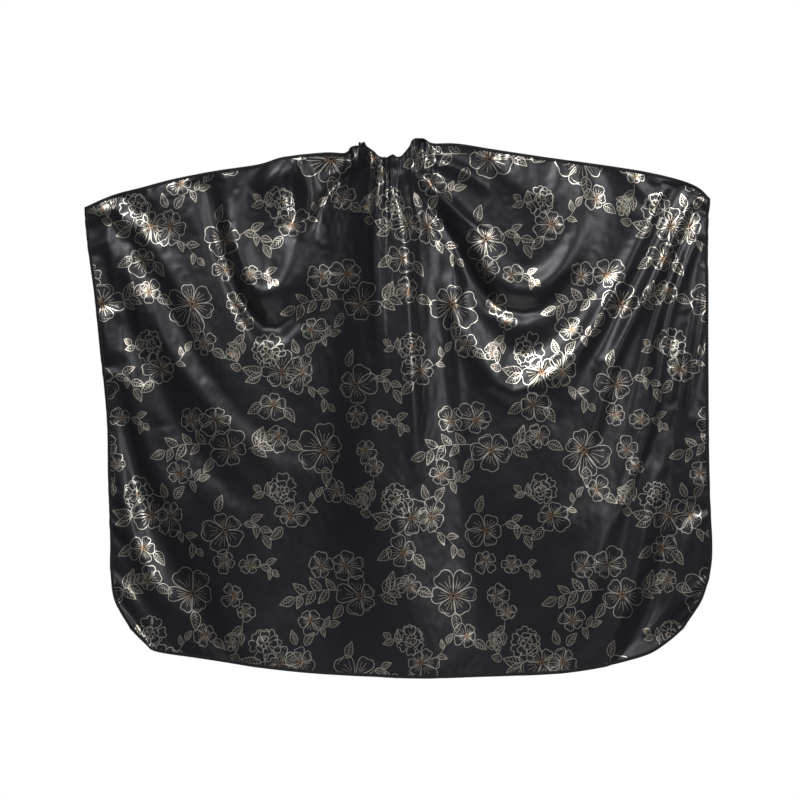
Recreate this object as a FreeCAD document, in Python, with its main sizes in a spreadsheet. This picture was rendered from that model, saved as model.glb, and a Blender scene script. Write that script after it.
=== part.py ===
"""Salon cutting cape, hung up by its neck band: one cloth, its edge binding, and a neck band with
two closing tabs and press studs. Millimetres, +Z up, the front faces -Y, and the origin is the
centre of the neck opening."""
import FreeCAD, Part
import Sketcher
import math
import os
from FreeCAD import Placement, Rotation, Vector

doc = FreeCAD.newDocument("salon_cape")

# ---------------------------------------------------------------- driving dimensions
DIMENSIONS = [
    # name, value, what it is
    ("hem_drop", 1183.0, "neck centre down to the lowest point of the hem"),
    ("cloth_thick", 1.2, "cloth with the air in its small creases"),
    ("shoulder_line", 220.0, "where the cloth folds back round the shoulder, from the middle"),
    ("shoulder_gap", 4.0, "between the front and each side, along the fold line"),
    ("fold_depth", 38.0, "half depth of the hanging folds at the hem"),
    ("fold_growth", 0.7, "power by which the folds deepen from the neck to the hem"),
    ("chest_depth", 55.0, "how far the neckline stands in front of the neck centre"),
    ("chest_half_width", 110.0, "half width of that forward curve under the neck"),
    ("side_turn_back", 60.0, "how far the side edges turn back"),
    ("side_reach", 560.0, "from the shoulder line to where they have turned back that far"),
    ("binding_width", 7.0, "folded edge tape"),
    ("binding_thick", 2.6, "folded edge tape over the cloth"),
    ("tape_clearance", 0.8, "between the cloth solid and the tape solid round it"),
    ("neck_radius", 68.0, "middle of the neck band"),
    ("neck_tilt", 36.0, "the front of the neck band is this much lower than its sides"),
    ("neck_sweep", 180.0, "angle that the neck band goes round"),
    ("band_height", 10.0, "neck tape, folded over the elastic"),
    ("band_thick", 4.4, "neck tape, over the elastic"),
    ("tape_wall", 0.8, "one thickness of the neck tape"),
    ("elastic_height", 7.0, "elastic inside the neck tape"),
    ("elastic_thick", 2.4, "elastic inside the neck tape"),
    ("hinge_back", 2.0, "tab fold line behind the neck centre"),
    ("tab_offset", 3.2, "tab beside its fold line, so that one tab closes over the other"),
    ("tab_start", 3.0, "free cloth between the fold line and the tab"),
    ("tab_length", 85.0, "fold line to the round end of a tab"),
    ("tab_width", 22.0, "closing tab"),
    ("tab_middle", -8.0, "height of a tab's centre line"),
    ("tab_round", 10.5, "corner radius at a tab's end"),
    ("tab_cloth", 0.8, "one cloth face of a tab"),
    ("tab_core", 1.0, "woven interlining inside a tab"),
    ("hole_radius", 1.6, "hole through the tab under a press stud"),
    ("post_radius", 1.5, "post that clamps a stud or a socket through the tab"),
    ("cap_radius", 5.5, "round head on the other face of the tab"),
    ("cap_thick", 1.2, "round head"),
    ("stud_metal", 0.4, "pressed metal of the studs"),
    ("socket_radius", 5.0, "press stud, hollow half"),
    ("socket_mouth", 2.3, "press stud, mouth of the hollow half"),
    ("socket_thick", 1.5, "press stud, hollow half"),
    ("stud_base", 4.6, "press stud, foot of the solid half"),
    ("stud_foot", 0.8, "press stud, thickness of that foot"),
    ("stud_radius", 2.0, "press stud, its pin"),
    ("stud_rise", 1.8, "press stud, foot and pin together"),
    ("stud_place", 76.0, "stud along the right tab, from the fold line"),
    ("socket_place", 46.0, "first socket along the left tab, from the fold line"),
    ("socket_step", 14.0, "from one socket to the next, for three neck sizes"),
    ("socket_count", 3.0, "sockets on the left tab"),
]

sizes = doc.addObject("Spreadsheet::Sheet", "sizes")
for row, (name, value, note) in enumerate(DIMENSIONS, start=1):
    sizes.set(f"A{row}", name)
    sizes.set(f"B{row}", str(value))
    sizes.set(f"C{row}", note)
    sizes.setAlias(f"B{row}", name)
doc.recompute()


def size(name):
    """A driving dimension, as a plain number."""
    return float(sizes.get(name))


# ---------------------------------------------------------------- the cloth and its edge
# The outline of the cape as it hangs, seen from the front: (across, up) points in order.
TOP_EDGE = [(-683, -138), (-592, -107), (-413, -69), (-234, -31), (-150, -23), (-105, -20),
            (-85, -17), (-66, -20), (-45, -37), (-20, -46), (0, -47.5), (20, -46), (45, -36),
            (66, -16), (85, -5), (105, -4), (150, -8), (234, -16), (458, -47), (636, -80), (717, -112)]
SIDES_AND_HEM = [(-683, -138), (-659, -349), (-632, -616), (-625, -930), (-590, -1068), (-480, -1138),
                 (-290, -1163), (90, -1183), (391, -1174), (560, -1143), (678, -1055), (720, -900),
                 (711, -560), (711, -300), (717, -112)]
LEFT_ROUND, RIGHT_ROUND = (-590, -1068), (678, -1055)   # middles of the two round corners
NECKLINE_END = 105.0   # the edge tape stops here, beside the gathers
ACROSS, DOWN = 13, 15   # points that a side's surface is drawn through
FRONT_ACROSS = 33       # and the front's, which has the neckline


def point(across, up):
    """A point in the plane of the outline."""
    return Vector(across, 0, up)


def edge_curve(points):
    """A smooth edge through (across, up) points."""
    curve = Part.BSplineCurve()
    curve.interpolate([point(*place) for place in points])
    return curve


def parameter_at(curve, across, low, high):
    """Where a curve that runs steadily to the right between two parameters reaches a place."""
    for _ in range(50):
        middle = (low + high) / 2
        if curve.value(middle).x < across:
            low = middle
        else:
            high = middle
    return (low + high) / 2


def stretch(curve, start, end, count):
    """Evenly spread points along a curve between two parameters, in that order."""
    edge = curve.toShape(min(start, end), max(start, end))
    points = edge.discretize(Number=count)
    origin = curve.value(start)
    if points[0].distanceToPoint(origin) > points[-1].distanceToPoint(origin):
        points.reverse()
    return points


def inset(points, distance):
    """The points moved to the right of their own direction, or to the left if distance is below 0."""
    moved = []
    for i, place in enumerate(points):
        along = points[min(i + 1, len(points) - 1)] - points[max(i - 1, 0)]
        along.normalize()
        moved.append(place + Vector(along.z, 0, -along.x) * distance)
    return moved


def cloth_depth(across, up):
    """How far back the middle of the cloth lies: chest curve, hanging folds, turned-back sides."""
    shoulder = size("shoulder_line")
    fall = min(max(-up / size("hem_drop"), 0.0), 1.0)
    chest_half = size("chest_half_width") + (shoulder - size("chest_half_width")) * fall
    depth = size("fold_depth") * fall ** size("fold_growth") * math.sin(math.pi * across / shoulder)
    if abs(across) < chest_half:
        depth -= size("chest_depth") * (1 - 0.4 * fall) * math.cos(math.pi * across / 2 / chest_half) ** 2
    if abs(across) > shoulder:
        depth += size("side_turn_back") * ((abs(across) - shoulder) / size("side_reach")) ** 2
    return depth


def laid_back(place, offset):
    """A point of the outline's plane, carried back onto the folded cloth."""
    return Vector(place.x, cloth_depth(place.x, place.z) + offset, place.z)


def sheet_solid(rows, thickness):
    """A closed sheet of even depth through rows of points in the outline's plane."""
    skins = []
    for offset in (-thickness / 2, thickness / 2):
        skin = Part.BSplineSurface()
        skin.interpolate([[laid_back(place, offset) for place in row] for row in rows])
        skins.append(skin)
    front, back = skins
    u_low, u_high, v_low, v_high = front.bounds()
    faces = [front.toShape(), back.toShape()]
    for u in (u_low, u_high):
        faces.append(Part.makeRuledSurface(front.uIso(u).toShape(), back.uIso(u).toShape()))
    for v in (v_low, v_high):
        faces.append(Part.makeRuledSurface(front.vIso(v).toShape(), back.vIso(v).toShape()))
    shell = Part.makeShell(faces)
    shell.sewShape()
    solid = Part.makeSolid(shell)
    if solid.Volume < 0:
        solid.reverse()
    return solid


def cloth_sheet(top, bottom, left, right):
    """Cloth between four edges: top and bottom run to the right, left and right run down."""
    rows = []
    last, low = len(top) - 1, len(left) - 1
    for i in range(last + 1):
        u = i / last
        row = []
        for j in range(low + 1):
            v = j / low
            between = top[i] * (1 - v) + bottom[i] * v + left[j] * (1 - u) + right[j] * u
            top_chord = top[0] * (1 - u) + top[last] * u
            bottom_chord = bottom[0] * (1 - u) + bottom[last] * u
            row.append(between - top_chord * (1 - v) - bottom_chord * v)
        rows.append(row)
    return sheet_solid(rows, size("cloth_thick"))


def tape_strip(points, sign):
    """Edge tape along an edge; sign is 1 if its points run clockwise, seen from the front."""
    return sheet_solid([points, inset(points, sign * size("binding_width"))], size("binding_thick"))


def add_shape(label, shape):
    """A free-form piece, whose shape is worked out above from the sheet."""
    feature = doc.addObject("Part::Feature", label)
    feature.Label = label
    feature.Shape = shape
    feature.Placement = Placement()
    return feature


top_curve = edge_curve(TOP_EDGE)
low_curve = edge_curve(SIDES_AND_HEM)
top_first, top_last = top_curve.FirstParameter, top_curve.LastParameter
low_first, low_last = low_curve.FirstParameter, low_curve.LastParameter
left_round = low_curve.parameter(point(*LEFT_ROUND))
right_round = low_curve.parameter(point(*RIGHT_ROUND))
seam = size("binding_width") + size("tape_clearance")   # the cloth's cut edge inside the outline


def on_top(across):
    return parameter_at(top_curve, across, top_first, top_last)


def on_hem(across):
    return parameter_at(low_curve, across, left_round, right_round)


fold_low = size("shoulder_line") - size("shoulder_gap") / 2
fold_high = size("shoulder_line") + size("shoulder_gap") / 2


def upright(start, end, count=DOWN):
    """Evenly spread points between two points, both included."""
    return [start + (end - start) * (j / (count - 1)) for j in range(count)]


def front_sheet():
    """The cloth between the two fold lines, with the neckline in its top edge."""
    places = [-fold_low + 2 * fold_low * i / (FRONT_ACROSS - 1) for i in range(FRONT_ACROSS)]
    top = []
    for across in places:
        beside_neck = abs(across) > NECKLINE_END - 20.0
        top.append(top_curve.value(on_top(across)) - point(0, seam if beside_neck else seam / 2))
    bottom = [low_curve.value(on_hem(across)) + point(0, seam) for across in places]
    return cloth_sheet(top, bottom, upright(top[0], bottom[0]), upright(top[-1], bottom[-1]))


def side_pieces(name, sign):
    """One side of the cape: its cloth, and the tape on its top edge and round its other edges.
    sign is -1 on the left and 1 on the right; every edge is taken from the fold line outwards."""
    fold = sign * fold_high
    top_end, low_end, rounding = ((top_first, low_first, left_round) if sign < 0
                                  else (top_last, low_last, right_round))
    top = stretch(top_curve, on_top(fold), top_end, ACROSS)
    side = stretch(low_curve, low_end, rounding, DOWN)
    hem = stretch(low_curve, on_hem(fold), rounding, ACROSS)
    inner_top = inset(top, sign * seam)
    inner_side = inset(side, sign * seam)
    inner_hem = inset(hem, -sign * seam)
    inner_top[0].x = inner_hem[0].x = fold
    inner_top[-1] = inner_side[0] = top[-1] + point(-sign * seam, -seam)
    inner_side[-1] = inner_hem[-1] = (inner_side[-1] + inner_hem[-1]) * 0.5
    cloth = cloth_sheet(inner_top, inner_hem, upright(inner_top[0], inner_hem[0]), inner_side)
    below_top = low_curve.parameter(top[-1] - point(0, seam))
    around = stretch(low_curve, below_top, on_hem(fold), 3 * DOWN)
    return [add_shape(f"cloth_{name}_side", cloth),
            add_shape(f"binding_{name}_top", tape_strip(top, sign)),
            add_shape(f"binding_{name}_side", tape_strip(around, sign))]


front_top_left = stretch(top_curve, on_top(-fold_low), on_top(-NECKLINE_END), 6)
front_top_right = stretch(top_curve, on_top(fold_low), on_top(NECKLINE_END), 6)
front_hem = stretch(low_curve, on_hem(-fold_low), on_hem(fold_low), ACROSS)
pieces = [add_shape("cloth_front", front_sheet()),
          add_shape("binding_front_left", tape_strip(front_top_left, 1)),
          add_shape("binding_front_right", tape_strip(front_top_right, -1)),
          add_shape("binding_hem", tape_strip(front_hem, -1))]
pieces += side_pieces("left", -1)
pieces += side_pieces("right", 1)


# ---------------------------------------------------------------- sketches and bodies
def new_body(label):
    body = doc.addObject("PartDesign::Body", label)
    body.Label = label
    return body


def new_sketch(body, role):
    """A sketch on one of the body's own origin planes."""
    plane = next(item for item in body.Origin.OriginFeatures if item.Role == role)
    sketch = body.newObject("Sketcher::SketchObject", f"{body.Name}_outline")
    sketch.AttachmentSupport = [(plane, "")]
    sketch.MapMode = "FlatFace"
    return sketch


def bind(sketch, kind, first, first_point, second, second_point, expression):
    """A distance in a sketch that follows the sheet."""
    index = sketch.addConstraint(
        Sketcher.Constraint(kind, first, first_point, second, second_point, 1.0))
    sketch.setExpression(f"Constraints[{index}]", expression)


def rectangle(sketch, left, bottom, width, height):
    """A rectangle whose place and sides are expressions; left and bottom are from the origin."""
    start = sketch.GeometryCount
    corners = [Vector(1, 1, 0), Vector(2, 1, 0), Vector(2, 2, 0), Vector(1, 2, 0)]
    for i in range(4):
        sketch.addGeometry(Part.LineSegment(corners[i], corners[(i + 1) % 4]), False)
    for i in range(4):
        sketch.addConstraint(Sketcher.Constraint("Coincident", start + i, 2, start + (i + 1) % 4, 1))
    for i, kind in enumerate(("Horizontal", "Vertical", "Horizontal", "Vertical")):
        sketch.addConstraint(Sketcher.Constraint(kind, start + i))
    bind(sketch, "DistanceX", -1, 1, start, 1, left)
    bind(sketch, "DistanceY", -1, 1, start, 1, bottom)
    bind(sketch, "DistanceX", start, 1, start, 2, width)
    bind(sketch, "DistanceY", start + 1, 1, start + 1, 2, height)


def circle(sketch, across, up, radius):
    """A circle whose centre and radius are expressions."""
    index = sketch.addGeometry(Part.Circle(Vector(5, 5, 0), Vector(0, 0, 1), 1.0), False)
    bind(sketch, "DistanceX", -1, 1, index, 3, across)
    bind(sketch, "DistanceY", -1, 1, index, 3, up)
    radius_index = sketch.addConstraint(Sketcher.Constraint("Radius", index, 1.0))
    sketch.setExpression(f"Constraints[{radius_index}]", radius)


# ---------------------------------------------------------------- neck band
def turned_band(label, thickness, height, drop):
    """A strip that goes round the front half of the neck, turned about the body's own Z axis.
    drop is the height of its lower edge below the middle of the band."""
    body = new_body(label)
    sketch = new_sketch(body, "XZ_Plane")
    rectangle(sketch, f"sizes.neck_radius - ({thickness}) / 2", f"-({drop})", thickness, height)
    turn = body.newObject("PartDesign::Revolution", f"{label}_turn")
    turn.Profile = sketch
    turn.ReferenceAxis = (sketch, ["V_Axis"])
    turn.Midplane = True
    turn.setExpression("Angle", "sizes.neck_sweep")
    return body


neck_tape = turned_band("neck_tape", "sizes.band_thick", "sizes.band_height",
                        "sizes.band_height / 2")
doc.recompute()
full_tape = neck_tape.Shape.Volume
slot_sketch = new_sketch(neck_tape, "XZ_Plane")
rectangle(slot_sketch, "sizes.neck_radius - sizes.band_thick / 2 + sizes.tape_wall",
          "-(sizes.band_height / 2) - 1",
          "sizes.band_thick - 2 * sizes.tape_wall", "sizes.band_height - sizes.tape_wall + 1")
slot = neck_tape.newObject("PartDesign::Groove", "neck_tape_slot")
slot.Profile = slot_sketch
slot.ReferenceAxis = (slot_sketch, ["V_Axis"])
slot.Midplane = True
slot.setExpression("Angle", "sizes.neck_sweep")
doc.recompute()
if neck_tape.Shape.Volume > 0.7 * full_tape:
    raise RuntimeError("the neck tape's slot did not cut")

neck_elastic = turned_band("neck_elastic", "sizes.elastic_thick", "sizes.elastic_height",
                           "sizes.elastic_height / 2")

# the middle of the band's sweep is turned to the front, and the front is tilted down
band_place = Placement(Vector(), Rotation(Vector(1, 0, 0), size("neck_tilt")))
band_place = band_place.multiply(Placement(Vector(), Rotation(Vector(0, 0, 1), -90)))
for body in (neck_tape, neck_elastic):
    body.Placement = band_place
pieces += [neck_tape, neck_elastic]


# ---------------------------------------------------------------- closing tabs
def tab_layer(label, thickness, post_places):
    """One layer of a tab, cut flat: length along Y, width along Z, thickness along X from 0."""
    body = new_body(label)
    sketch = new_sketch(body, "YZ_Plane")
    rectangle(sketch, "sizes.tab_start", "sizes.tab_middle - sizes.tab_width / 2",
              "sizes.tab_length - sizes.tab_start", "sizes.tab_width")
    pad = body.newObject("PartDesign::Pad", f"{label}_pad")
    pad.Profile = sketch
    pad.setExpression("Length", thickness)
    doc.recompute()
    ends = [f"Edge{n}" for n, edge in enumerate(pad.Shape.Edges, start=1)
            if edge.BoundBox.YMin > size("tab_length") - 0.01 and edge.BoundBox.ZLength < 0.01]
    round_end = body.newObject("PartDesign::Fillet", f"{label}_round")
    round_end.Base = (pad, ends)
    round_end.setExpression("Radius", "sizes.tab_round")
    doc.recompute()
    solid_volume = body.Shape.Volume
    holes = new_sketch(body, "YZ_Plane")
    for place in post_places:
        circle(holes, place, "sizes.tab_middle", "sizes.hole_radius")
    pocket = body.newObject("PartDesign::Pocket", f"{label}_holes")
    pocket.Profile = holes
    pocket.Type = "ThroughAll"
    pocket.Midplane = True
    doc.recompute()
    if body.Shape.Volume > solid_volume - 1.0:
        raise RuntimeError(f"the holes of {label} did not cut")
    return body


socket_places = [f"sizes.socket_place + {n} * sizes.socket_step"
                 for n in range(int(size("socket_count")))]
half_tab = size("tab_cloth") + size("tab_core") / 2
for side, sign, places in (("left", -1, socket_places), ("right", 1, ["sizes.stud_place"])):
    fold_x = sign * size("neck_radius")
    middle = fold_x + size("tab_offset")
    layers = (("lining", -half_tab if sign > 0 else size("tab_core") / 2, "sizes.tab_cloth"),
              ("interlining", -size("tab_core") / 2, "sizes.tab_core"),
              ("outer", size("tab_core") / 2 if sign > 0 else -half_tab, "sizes.tab_cloth"))
    for name, start, thickness in layers:
        layer = tab_layer(f"{side}_tab_{name}", thickness, places)
        layer.Placement = Placement(Vector(middle + start, size("hinge_back"), 0), Rotation())
        pieces.append(layer)


# ---------------------------------------------------------------- press studs
def disc(name, radius, height, along, start, direction):
    """A round of a press stud: its axis is across the tab, at a place along the tab."""
    part = doc.addObject("Part::Cylinder", name)
    part.setExpression("Radius", radius)
    part.setExpression("Height", height)
    part.Placement = Placement(Vector(start, along, size("tab_middle")),
                               Rotation(Vector(0, 0, 1), Vector(direction, 0, 0)))
    return part


def join(kind, name, parts):
    """A union or a cut of round parts."""
    joined = doc.addObject(kind, name)
    if kind == "Part::Cut":
        joined.Base, joined.Tool = parts
    else:
        joined.Shapes = parts
    return joined


left_middle = -size("neck_radius") + size("tab_offset")
right_middle = size("neck_radius") + size("tab_offset")
sockets, caps = [], []
for n in range(int(size("socket_count"))):
    along = size("hinge_back") + size("socket_place") + n * size("socket_step")
    # the socket is on the left tab's outer face, and its cap and post are on the lining
    ring = disc(f"socket_{n}", "sizes.socket_radius", "sizes.socket_thick", along,
                left_middle - half_tab, -1)
    mouth = disc(f"mouth_{n}", "sizes.socket_mouth", "sizes.socket_thick", along,
                 left_middle - half_tab - size("stud_metal"), -1)
    sockets.append(join("Part::Cut", f"socket_cut_{n}", (ring, mouth)))
    head = disc(f"cap_{n}", "sizes.cap_radius", "sizes.cap_thick", along,
                left_middle + half_tab, 1)
    post = disc(f"post_{n}", "sizes.post_radius", "2 * sizes.tab_cloth + sizes.tab_core", along,
                left_middle - half_tab, 1)
    caps.append(join("Part::MultiFuse", f"cap_post_{n}", [head, post]))

stud_along = size("hinge_back") + size("stud_place")
foot = disc("stud_foot_round", "sizes.stud_base", "sizes.stud_foot", stud_along,
            right_middle - half_tab, -1)
pin = disc("stud_pin", "sizes.stud_radius", "sizes.stud_rise", stud_along,
           right_middle - half_tab, -1)
head = disc("stud_head", "sizes.cap_radius", "sizes.cap_thick", stud_along, right_middle + half_tab, 1)
post = disc("stud_post", "sizes.post_radius", "2 * sizes.tab_cloth + sizes.tab_core", stud_along,
            right_middle - half_tab, 1)
for label, kind, parts in (("press_sockets", "Part::Compound", sockets),
                           ("socket_caps", "Part::Compound", caps),
                           ("press_stud", "Part::MultiFuse", [foot, pin]),
                           ("stud_cap", "Part::MultiFuse", [head, post])):
    group = doc.addObject(kind, label)
    group.Label = label
    if kind == "Part::Compound":
        group.Links = parts
    else:
        group.Shapes = parts
    pieces.append(group)

# ---------------------------------------------------------------- check and write
doc.recompute()
for item in doc.Objects:
    if "Invalid" in item.State or "Error" in item.State:
        raise RuntimeError(f"{item.Label} failed: {item.State}")
for piece in pieces:
    if piece.Shape.isNull() or not piece.Shape.isValid():
        raise RuntimeError(f"{piece.Label} has no valid shape")
os.makedirs("parts", exist_ok=True)
for piece in pieces:
    piece.Shape.exportStep(os.path.join("parts", f"{piece.Label}.step"))
    box = piece.Shape.BoundBox
    print(f"{piece.Label:22s} {len(piece.Shape.Solids)} solid(s) {piece.Shape.Volume:10.1f} mm3"
          f"  x {box.XMin:7.1f} {box.XMax:7.1f}  y {box.YMin:7.1f} {box.YMax:7.1f}"
          f"  z {box.ZMin:8.1f} {box.ZMax:7.1f}")
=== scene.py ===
"""Salon cutting cape hung up by its neck band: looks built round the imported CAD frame."""

import cmath
import math
import random

import bmesh
import bpy
import numpy as np
from mathutils import Matrix, Vector
from mathutils.bvhtree import BVHTree
from mathutils.geometry import barycentric_transform


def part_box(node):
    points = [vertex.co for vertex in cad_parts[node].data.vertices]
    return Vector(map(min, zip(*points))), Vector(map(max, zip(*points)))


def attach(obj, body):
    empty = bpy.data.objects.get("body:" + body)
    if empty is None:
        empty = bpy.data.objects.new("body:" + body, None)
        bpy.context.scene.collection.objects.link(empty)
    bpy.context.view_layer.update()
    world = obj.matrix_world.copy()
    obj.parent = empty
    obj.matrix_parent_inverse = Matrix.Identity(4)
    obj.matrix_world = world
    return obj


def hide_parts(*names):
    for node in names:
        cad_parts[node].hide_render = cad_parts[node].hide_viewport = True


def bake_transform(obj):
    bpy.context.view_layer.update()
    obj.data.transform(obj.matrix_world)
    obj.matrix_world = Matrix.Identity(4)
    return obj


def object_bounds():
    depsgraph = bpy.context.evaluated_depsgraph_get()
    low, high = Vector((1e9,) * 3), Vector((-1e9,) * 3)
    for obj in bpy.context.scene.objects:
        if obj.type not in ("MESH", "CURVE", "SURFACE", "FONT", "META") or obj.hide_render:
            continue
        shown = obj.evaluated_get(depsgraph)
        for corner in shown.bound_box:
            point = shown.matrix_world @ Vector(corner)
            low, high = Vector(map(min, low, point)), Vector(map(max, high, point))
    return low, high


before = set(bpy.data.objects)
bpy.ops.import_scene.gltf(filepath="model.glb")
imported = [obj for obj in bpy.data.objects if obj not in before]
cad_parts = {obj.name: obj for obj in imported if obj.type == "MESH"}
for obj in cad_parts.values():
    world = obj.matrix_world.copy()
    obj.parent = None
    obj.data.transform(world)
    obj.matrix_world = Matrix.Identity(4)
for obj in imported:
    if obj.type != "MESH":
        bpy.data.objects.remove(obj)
cad_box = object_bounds()

# ------------------------------------------------------------------ the cut cloth
# One piece of black polyester satin, cut with sloping shoulders, round lower corners and a scooped
# neckline. The neckline is gathered into its tape, and the cloth hangs from there and from its two
# top corners, so that it falls in swags under the shoulders and in long streaks from the corners.
CLOTH_THICK = 0.0004
EASE = 0.914             # hung width over cut width: the folds take up the rest
GATHER = 0.045           # extra cloth drawn into each half of the neckline
GATHER_REACH = 0.15      # how far from the neck that cloth spreads out again
NECK_RADIUS, NECK_TILT = 0.068, math.radians(36)   # the neck band, as the frame has it
NECK_STAND = 0.006       # how far the gathered edge stands in front of the band
LOWEST = -cad_box[0][2]  # neck centre down to the lowest point of the hem
CHEST_WIDE, CHEST_OUT = 0.110, 0.055     # half width and depth of the bulge over the chest
SIDES_FROM, SIDES_BACK = 0.30, 0.035     # where the sides start to fall back, and how far they do
HEM_WAVE, HEM_PITCH = 0.014, 0.36        # the slow wave of the cloth towards its hem

# The outline as it hangs, as (across, up) points.
TOP_EDGE = [(-0.686, -0.140), (-0.621, -0.113), (-0.558, -0.097), (-0.487, -0.079), (-0.393, -0.061),
            (-0.292, -0.046), (-0.237, -0.030), (-0.150, -0.020), (-0.103, -0.021), (-0.094, -0.017),
            (-0.085, -0.006), (-0.071, -0.005), (-0.059, 0.001), (-0.052, -0.009), (-0.038, -0.020),
            (-0.020, -0.037), (-0.008, -0.038), (0.004, -0.029), (0.021, -0.035), (0.038, -0.017),
            (0.047, -0.004), (0.052, 0.007), (0.074, 0.011), (0.094, 0.001), (0.150, 0.000),
            (0.232, -0.013), (0.346, -0.030), (0.467, -0.046), (0.569, -0.061), (0.646, -0.078),
            (0.692, -0.096), (0.718, -0.120)]
LEFT_EDGE = [(-0.686, -0.140), (-0.680, -0.214), (-0.662, -0.348), (-0.648, -0.482), (-0.635, -0.616),
             (-0.632, -0.750), (-0.627, -0.884), (-0.626, -0.951), (-0.616, -1.018), (-0.581, -1.083)]
RIGHT_EDGE = [(0.718, -0.120), (0.714, -0.214), (0.714, -0.482), (0.716, -0.750), (0.722, -0.884),
              (0.718, -0.951), (0.700, -1.018), (0.658, -1.083)]
HEM_EDGE = [(-0.581, -1.083), (-0.545, -1.116), (-0.513, -1.132), (-0.395, -1.146), (-0.279, -1.160),
            (-0.156, -1.173), (-0.022, -1.178), (0.201, -1.180), (0.335, -1.176), (0.449, -1.163),
            (0.563, -1.140), (0.614, -1.116), (0.658, -1.083)]

# Each hanging fold: the line of its crest or trough as (across, up) points, its half width, and
# how far it stands forward, or back if below 0.
CORNER_STREAKS = [
    ([(0.672, -0.114), (0.603, -0.270), (0.502, -0.471), (0.447, -0.661)], 0.016, 0.012),
    ([(0.636, -0.103), (0.558, -0.281), (0.458, -0.471)], 0.020, -0.010),
    ([(0.698, -0.170), (0.620, -0.393), (0.581, -0.616), (0.502, -0.840)], 0.014, 0.012),
    ([(0.715, -0.281), (0.681, -0.482), (0.642, -0.728)], 0.012, 0.010),
    ([(0.681, -0.159), (0.592, -0.393), (0.525, -0.639)], 0.015, -0.010),
    ([(0.581, -0.170), (0.525, -0.281), (0.447, -0.415), (0.380, -0.572)], 0.020, 0.008),
    ([(0.692, -0.226), (0.648, -0.639), (0.603, -0.951)], 0.018, -0.010),
    ([(-0.670, -0.136), (-0.581, -0.315), (-0.480, -0.482), (-0.368, -0.616), (-0.246, -0.728)],
     0.030, 0.007),
    ([(-0.659, -0.192), (-0.592, -0.393), (-0.502, -0.572), (-0.402, -0.717), (-0.313, -0.795)],
     0.030, -0.007),
    ([(-0.648, -0.125), (-0.536, -0.226), (-0.424, -0.415), (-0.335, -0.572)], 0.025, 0.005),
    ([(-0.614, -0.170), (-0.514, -0.326), (-0.413, -0.505)], 0.020, -0.004),
    ([(-0.645, -0.125), (-0.612, -0.350), (-0.576, -0.570)], 0.009, 0.0035),
    ([(-0.606, -0.125), (-0.572, -0.350), (-0.520, -0.610)], 0.009, 0.0035),
    ([(-0.563, -0.125), (-0.530, -0.330), (-0.480, -0.520)], 0.010, 0.003),
    ([(-0.670, -0.237), (-0.614, -0.482), (-0.536, -0.706), (-0.435, -0.873)], 0.025, 0.007),
    ([(-0.625, -0.505), (-0.569, -0.750), (-0.480, -0.951), (-0.380, -1.074)], 0.035, -0.015),
    ([(-0.648, -0.393), (-0.608, -0.672), (-0.569, -0.895), (-0.502, -1.041)], 0.020, 0.012),
]
SWAGS = [
    ([(0.089, -0.080), (0.156, -0.170), (0.223, -0.281), (0.301, -0.326), (0.380, -0.281),
      (0.447, -0.159)], 0.030, 0.018),
    ([(0.045, -0.125), (0.145, -0.248), (0.234, -0.354), (0.335, -0.365), (0.424, -0.281)],
     0.018, -0.014),
    ([(0.123, -0.315), (0.201, -0.482), (0.268, -0.549), (0.357, -0.516), (0.447, -0.415),
      (0.491, -0.315)], 0.025, 0.014),
    ([(0.156, -0.281), (0.234, -0.415), (0.301, -0.460), (0.391, -0.393), (0.447, -0.315)],
     0.030, -0.012),
    ([(0.223, -0.047), (0.335, -0.103), (0.424, -0.080)], 0.040, 0.015),
    ([(-0.368, -0.181), (-0.313, -0.315), (-0.246, -0.315), (-0.207, -0.214)], 0.035, 0.024),
    ([(-0.404, -0.100), (-0.380, -0.214), (-0.330, -0.340), (-0.280, -0.410), (-0.225, -0.385),
      (-0.200, -0.315)], 0.022, -0.027),
    ([(-0.290, -0.114), (-0.257, -0.069), (-0.212, -0.047)], 0.030, 0.020),
    ([(-0.201, -0.036), (-0.179, -0.114), (-0.201, -0.203)], 0.016, 0.014),
    ([(-0.223, -0.058), (-0.212, -0.170)], 0.012, -0.010),
]
NECK_FOLDS = [
    ([(-0.045, -0.058), (-0.112, -0.147), (-0.134, -0.237)], 0.014, 0.010),
    ([(-0.022, -0.069), (-0.033, -0.214), (-0.022, -0.482)], 0.016, 0.008),
    ([(0.006, -0.075), (0.033, -0.237), (0.045, -0.415), (0.061, -0.728)], 0.018, 0.010),
    ([(0.033, -0.069), (0.134, -0.237), (0.145, -0.415), (0.156, -0.616)], 0.018, 0.010),
    ([(0.056, -0.058), (0.156, -0.159), (0.234, -0.214)], 0.014, 0.012),
    ([(0.045, -0.092), (0.112, -0.170), (0.190, -0.281), (0.234, -0.360)], 0.014, -0.016),
    ([(0.084, -0.036), (0.156, -0.058), (0.223, -0.103)], 0.016, 0.012),
    ([(-0.067, -0.058), (-0.134, -0.103), (-0.167, -0.192)], 0.012, -0.012),
]
LOW_FOLDS = [
    ([(-0.022, -0.482), (0.045, -0.795), (0.089, -1.063)], 0.050, -0.008),
    ([(0.190, -0.639), (0.246, -0.840), (0.268, -1.063)], 0.060, 0.012),
    ([(0.480, -0.840), (0.435, -1.007), (0.380, -1.130)], 0.030, 0.010),
    ([(-0.201, -0.795), (-0.246, -0.951), (-0.313, -1.108)], 0.050, -0.010),
    ([(0.581, -0.728), (0.547, -0.951), (0.480, -1.130)], 0.025, 0.012),
    ([(0.636, -0.840), (0.592, -1.018), (0.514, -1.141)], 0.025, -0.012),
]


def travelled(line):
    """How far along a line of places each of them is."""
    return np.concatenate([[0], np.cumsum(np.linalg.norm(np.diff(line, axis=0), axis=1))])


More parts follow.
